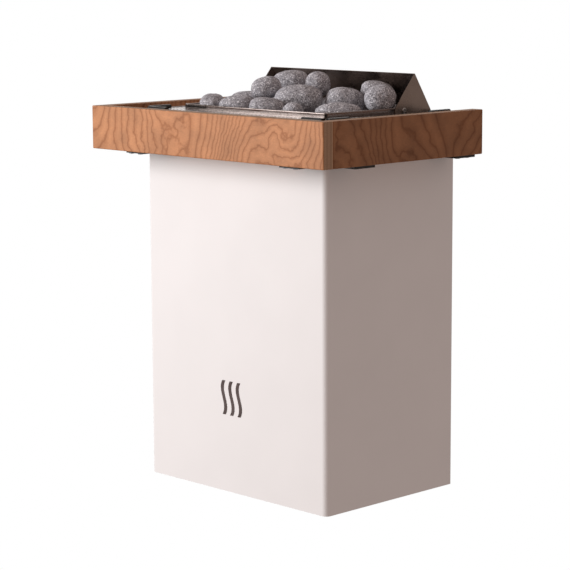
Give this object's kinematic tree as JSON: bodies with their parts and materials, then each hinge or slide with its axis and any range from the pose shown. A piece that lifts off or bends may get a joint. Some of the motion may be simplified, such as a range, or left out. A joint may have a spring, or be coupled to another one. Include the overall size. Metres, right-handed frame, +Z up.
{
  "type": "wall-mounted electric sauna heater",
  "caption": "Wall-hung electric sauna heater: white steel casing, open stone chamber with leaning steel deflector, and a plywood safety rail on steel straps.",
  "frame": {"origin": "on the wall plane, in the middle of the wall bracket's screw pattern", "axes": "+X to the heater's right as seen from the front, +Y into the wall, +Z up; the front faces -Y"},
  "size_m": [0.5162, 0.3661, 0.6511],
  "materials": {
    "white_powder_coat": "fine satin powder coat",
    "plywood": "oiled birch plywood",
    "beech_dowel": "plain beech",
    "black_steel": "black powder coat",
    "stainless_sheet": "brushed stainless sheet",
    "stainless_rivet": "turned stainless",
    "galvanised_sheet": "hot-dip galvanised sheet",
    "zinc_steel": "zinc plated",
    "element_sheath": "heat-tinted stainless tube",
    "steatite_ceramic": "unglazed steatite",
    "silicone_lead": "silicone insulation",
    "gland_nylon": "moulded nylon",
    "spacer_nylon": "moulded nylon",
    "olivine_stone": "rounded speckled grey stone"
  },
  "bodies": {
    "wall_bracket_body": {"wall_bracket": "galvanised_sheet"},
    "heater": {"back_panel": "galvanised_sheet", "back_screws": "zinc_steel", "base_plate": "stainless_sheet", "connection_box": "galvanised_sheet", "connection_cover": "galvanised_sheet", "cover_screws": "zinc_steel", "deflector_rivets": "stainless_rivet", "earth_nuts": "zinc_steel", "earth_stud": "zinc_steel", "element_leads": "silicone_lead", "element_nuts": "zinc_steel", "front_emblem": "stainless_sheet", "gland_body": "gland_nylon", "gland_cap": "gland_nylon", "gland_locknut": "gland_nylon", "heat_deflector": "stainless_sheet", "heating_element_1": "element_sheath", "heating_element_2": "element_sheath", "heating_element_3": "element_sheath", "inner_jacket": "galvanised_sheet", "outer_casing": "white_powder_coat", "stone_bedding": "olivine_stone", "stone_big": "olivine_stone", "stone_chamber": "stainless_sheet", "stone_collar": "stainless_sheet", "stone_front_long": "olivine_stone", "stone_front_middle": "olivine_stone", "stone_grate": "stainless_sheet", "stone_layer_1": "olivine_stone", "stone_layer_2": "olivine_stone", "stone_layer_3": "olivine_stone", "stone_layer_4": "olivine_stone", "stone_layer_5": "olivine_stone", "stone_layer_6": "olivine_stone", "stone_left_flat": "olivine_stone", "stone_right": "olivine_stone", "stone_top_right": "olivine_stone", "terminal_block": "steatite_ceramic", "terminal_block_screws": "zinc_steel", "top_plate": "stainless_sheet", "wall_spacers": "spacer_nylon"},
    "safety_rail": {"rail_dowels": "beech_dowel", "rail_front_board": "plywood", "rail_left_board": "plywood", "rail_right_board": "plywood", "rail_screws": "zinc_steel", "strap_front_left": "black_steel", "strap_front_right": "black_steel", "strap_left_front": "black_steel", "strap_left_rear": "black_steel", "strap_right_front": "black_steel", "strap_right_rear": "black_steel"},
    "stone_front_left_body": {"stone_front_left": "olivine_stone"},
    "stone_front_small_body": {"stone_front_small": "olivine_stone"},
    "stone_front_flat_body": {"stone_front_flat": "olivine_stone"},
    "stone_right_back_body": {"stone_right_back": "olivine_stone"},
    "stone_top_left_body": {"stone_top_left": "olivine_stone"},
    "stone_top_back_body": {"stone_top_back": "olivine_stone"},
    "stone_top_middle_body": {"stone_top_middle": "olivine_stone"}
  },
  "joints": [
    {"name": "heater_lift", "type": "slide", "parent": "wall_bracket_body", "child": "heater", "axis": [0, 0, 1], "range_m": [0, 0.018]},
    {"name": "rail_lift", "type": "slide", "parent": "heater", "child": "safety_rail", "axis": [0, 0, 1], "range_m": [0, 0.07]},
    {"name": "stone_front_left_lift", "type": "slide", "parent": "heater", "child": "stone_front_left_body", "axis": [0, 0, 1], "range_m": [0, 0.08]},
    {"name": "stone_front_small_lift", "type": "slide", "parent": "heater", "child": "stone_front_small_body", "axis": [0, 0, 1], "range_m": [0, 0.08]},
    {"name": "stone_front_flat_lift", "type": "slide", "parent": "heater", "child": "stone_front_flat_body", "axis": [0, 0, 1], "range_m": [0, 0.08]},
    {"name": "stone_right_back_lift", "type": "slide", "parent": "heater", "child": "stone_right_back_body", "axis": [0, 0, 1], "range_m": [0, 0.08]},
    {"name": "stone_top_left_lift", "type": "slide", "parent": "heater", "child": "stone_top_left_body", "axis": [0, 0, 1], "range_m": [0, 0.08]},
    {"name": "stone_top_back_lift", "type": "slide", "parent": "heater", "child": "stone_top_back_body", "axis": [0, 0, 1], "range_m": [0, 0.08]},
    {"name": "stone_top_middle_lift", "type": "slide", "parent": "heater", "child": "stone_top_middle_body", "axis": [0, 0, 1], "range_m": [0, 0.08]}
  ]
}
